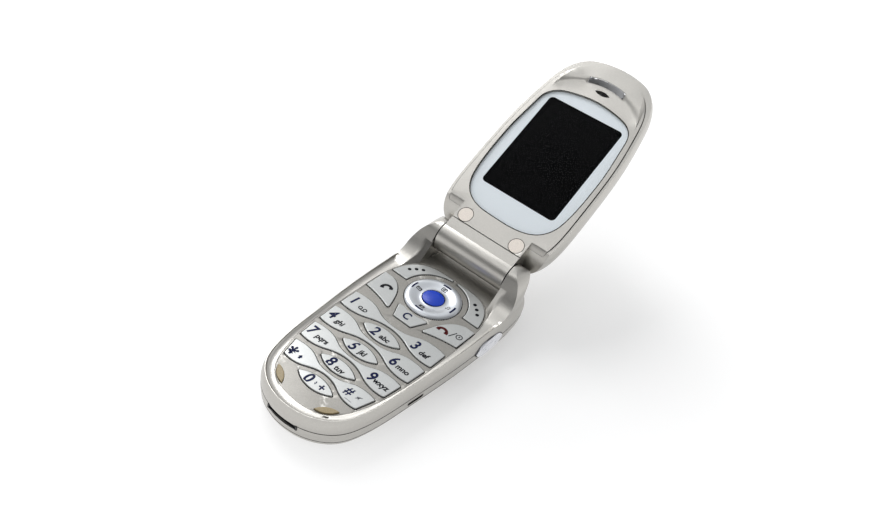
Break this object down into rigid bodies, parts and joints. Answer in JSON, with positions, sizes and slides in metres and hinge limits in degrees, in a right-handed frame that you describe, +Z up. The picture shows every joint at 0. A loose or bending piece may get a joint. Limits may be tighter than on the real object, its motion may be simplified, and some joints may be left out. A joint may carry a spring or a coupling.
{
  "type": "clamshell feature phone",
  "caption": "Compact silver clamshell feature phone lying open, with a wave-keyed keypad, navigation ring, and a hinged flip with display and earpiece.",
  "frame": {"origin": "middle of the flat back of the lower half, on the table", "axes": "+Z up, away from the table; +Y from the chin towards the hinge; +X to the user's right"},
  "size_m": [0.0446, 0.1562, 0.064],
  "materials": {
    "silver_paint": "satin champagne-silver paint on moulded plastic",
    "plate_paint": "satin warm grey-silver paint",
    "key_paint": "silver painted key caps under clear lacquer",
    "ok_blue": "gloss royal blue",
    "chrome_trim": "bright plated trim",
    "window_glass": "clear scratch-resistant window",
    "mask_print": "pale blue-grey print behind the window",
    "screen_black": "unlit display",
    "rubber_pale": "yellowed translucent rubber",
    "cap_pale": "pale pinkish-white caps",
    "dark_plastic": "black moulding",
    "grey_rubber": "grey silicone mat",
    "board_green": "green circuit board",
    "can_steel": "tinned steel",
    "brass_contact": "gold-plated contacts",
    "battery_grey": "dark grey battery case",
    "film_clear": "amber film"
  },
  "bodies": {
    "lower_half": {"front_cover": "silver_paint", "keypad_bezel": "plate_paint", "rear_cover": "silver_paint", "battery_pack": "battery_grey", "keypad_mat": "grey_rubber", "dome_sheet": "film_clear", "main_board": "board_green", "shield_cans": "can_steel", "microphone": "dark_plastic", "system_connector": "dark_plastic", "infrared_window": "dark_plastic", "vibration_motor": "can_steel", "loudspeaker": "dark_plastic", "sim_holder": "can_steel", "battery_contacts": "brass_contact", "antenna": "dark_plastic", "backup_cell": "can_steel", "base_screws": "can_steel", "chin_bumpers": "rubber_pale", "side_switches": "dark_plastic", "hinge_cam": "can_steel", "hinge_bush": "can_steel"},
    "upper_half": {"inner_cover": "silver_paint", "outer_cover": "silver_paint", "display_window": "window_glass", "display_mask": "mask_print", "lcd_module": "screen_black", "flip_board": "board_green", "earpiece_trim": "chrome_trim", "earpiece_mesh": "dark_plastic", "receiver": "dark_plastic", "screw_caps": "cap_pale", "flip_screws": "can_steel", "outer_window": "window_glass", "outer_display": "screen_black", "flex_cable": "film_clear", "magnet": "can_steel", "hinge_cartridge": "can_steel"},
    "battery_cover_body": {"battery_cover": "silver_paint"},
    "battery_latch_body": {"battery_latch": "silver_paint"},
    "side_rocker_body": {"side_rocker": "silver_paint"},
    "key_strip_1_3_body": {"key_strip_1_3": "key_paint"},
    "key_strip_4_6_body": {"key_strip_4_6": "key_paint"},
    "key_strip_7_9_body": {"key_strip_7_9": "key_paint"},
    "key_strip_star_hash_body": {"key_strip_star_hash": "key_paint"},
    "key_2_body": {"key_2": "key_paint"},
    "key_5_body": {"key_5": "key_paint"},
    "key_8_body": {"key_8": "key_paint"},
    "key_0_body": {"key_0": "key_paint"},
    "key_soft_left_body": {"key_soft_left": "key_paint"},
    "key_soft_right_body": {"key_soft_right": "key_paint"},
    "key_send_body": {"key_send": "key_paint"},
    "key_end_body": {"key_end": "key_paint"},
    "key_clear_body": {"key_clear": "key_paint"},
    "nav_seat_body": {"nav_seat": "dark_plastic"},
    "nav_ring_body": {"nav_ring": "key_paint"},
    "nav_ok_body": {"nav_ok": "ok_blue"}
  },
  "joints": [
    {"name": "flip_hinge", "type": "hinge", "parent": "lower_half", "child": "upper_half", "pos_m": [0, 0.038, 0.01657], "axis": [1, 0, 0], "range_deg": [0, 148.4]},
    {"name": "key_strip_1_3_rock", "type": "hinge", "parent": "lower_half", "child": "key_strip_1_3_body", "pos_m": [0, -0.00248, 0.0092], "axis": [0, 1, 0], "range_deg": [-1, 1], "stiffness_Nm_per_rad": 0.005},
    {"name": "key_strip_4_6_rock", "type": "hinge", "parent": "lower_half", "child": "key_strip_4_6_body", "pos_m": [0, -0.01188, 0.0092], "axis": [0, 1, 0], "range_deg": [-1, 1], "stiffness_Nm_per_rad": 0.005},
    {"name": "key_strip_7_9_rock", "type": "hinge", "parent": "lower_half", "child": "key_strip_7_9_body", "pos_m": [0, -0.02094, 0.0092], "axis": [0, 1, 0], "range_deg": [-1, 1], "stiffness_Nm_per_rad": 0.005},
    {"name": "key_strip_star_hash_rock", "type": "hinge", "parent": "lower_half", "child": "key_strip_star_hash_body", "pos_m": [0, -0.02972, 0.0092], "axis": [0, 1, 0], "range_deg": [-1, 1], "stiffness_Nm_per_rad": 0.005},
    {"name": "key_2_travel", "type": "slide", "parent": "lower_half", "child": "key_2_body", "axis": [0, 0, -1], "range_m": [0, 0.0003], "stiffness_N_per_m": 300},
    {"name": "key_5_travel", "type": "slide", "parent": "lower_half", "child": "key_5_body", "axis": [0, 0, -1], "range_m": [0, 0.0003], "stiffness_N_per_m": 300},
    {"name": "key_8_travel", "type": "slide", "parent": "lower_half", "child": "key_8_body", "axis": [0, 0, -1], "range_m": [0, 0.0003], "stiffness_N_per_m": 300},
    {"name": "key_0_travel", "type": "slide", "parent": "lower_half", "child": "key_0_body", "axis": [0, 0, -1], "range_m": [0, 0.0003], "stiffness_N_per_m": 300},
    {"name": "key_soft_left_travel", "type": "slide", "parent": "lower_half", "child": "key_soft_left_body", "axis": [0, 0, -1], "range_m": [0, 0.0003], "stiffness_N_per_m": 300},
    {"name": "key_soft_right_travel", "type": "slide", "parent": "lower_half", "child": "key_soft_right_body", "axis": [0, 0, -1], "range_m": [0, 0.0003], "stiffness_N_per_m": 300},
    {"name": "key_send_travel", "type": "slide", "parent": "lower_half", "child": "key_send_body", "axis": [0, 0, -1], "range_m": [0, 0.0003], "stiffness_N_per_m": 300},
    {"name": "key_end_travel", "type": "slide", "parent": "lower_half", "child": "key_end_body", "axis": [0, 0, -1], "range_m": [0, 0.0003], "stiffness_N_per_m": 300},
    {"name": "key_clear_travel", "type": "slide", "parent": "lower_half", "child": "key_clear_body", "axis": [0, 0, -1], "range_m": [0, 0.0003], "stiffness_N_per_m": 300},
    {"name": "nav_ok_travel", "type": "slide", "parent": "lower_half", "child": "nav_ok_body", "axis": [0, 0, -1], "range_m": [0, 0.0003], "stiffness_N_per_m": 300},
    {"name": "nav_tilt_forward_back", "type": "hinge", "parent": "lower_half", "child": "nav_seat_body", "pos_m": [0, 0.01727, 0.0089], "axis": [1, 0, 0], "range_deg": [-0.7, 0.7], "stiffness_Nm_per_rad": 0.004},
    {"name": "nav_tilt_left_right", "type": "hinge", "parent": "nav_seat_body", "child": "nav_ring_body", "pos_m": [0, 0.01727, 0.0089], "axis": [0, 1, 0], "range_deg": [-0.7, 0.7], "stiffness_Nm_per_rad": 0.004},
    {"name": "side_rocker_rock", "type": "hinge", "parent": "lower_half", "child": "side_rocker_body", "pos_m": [0.0214, 0.01856, 0.0063], "axis": [0, 0, 1], "range_deg": [-2.5, 2.5], "stiffness_Nm_per_rad": 0.004},
    {"name": "battery_cover_travel", "type": "slide", "parent": "lower_half", "child": "battery_cover_body", "axis": [0, -1, 0], "range_m": [0, 0.006]},
    {"name": "battery_latch_travel", "type": "slide", "parent": "lower_half", "child": "battery_latch_body", "axis": [0, 1, 0], "range_m": [0, 0.0015], "stiffness_N_per_m": 100}
  ]
}
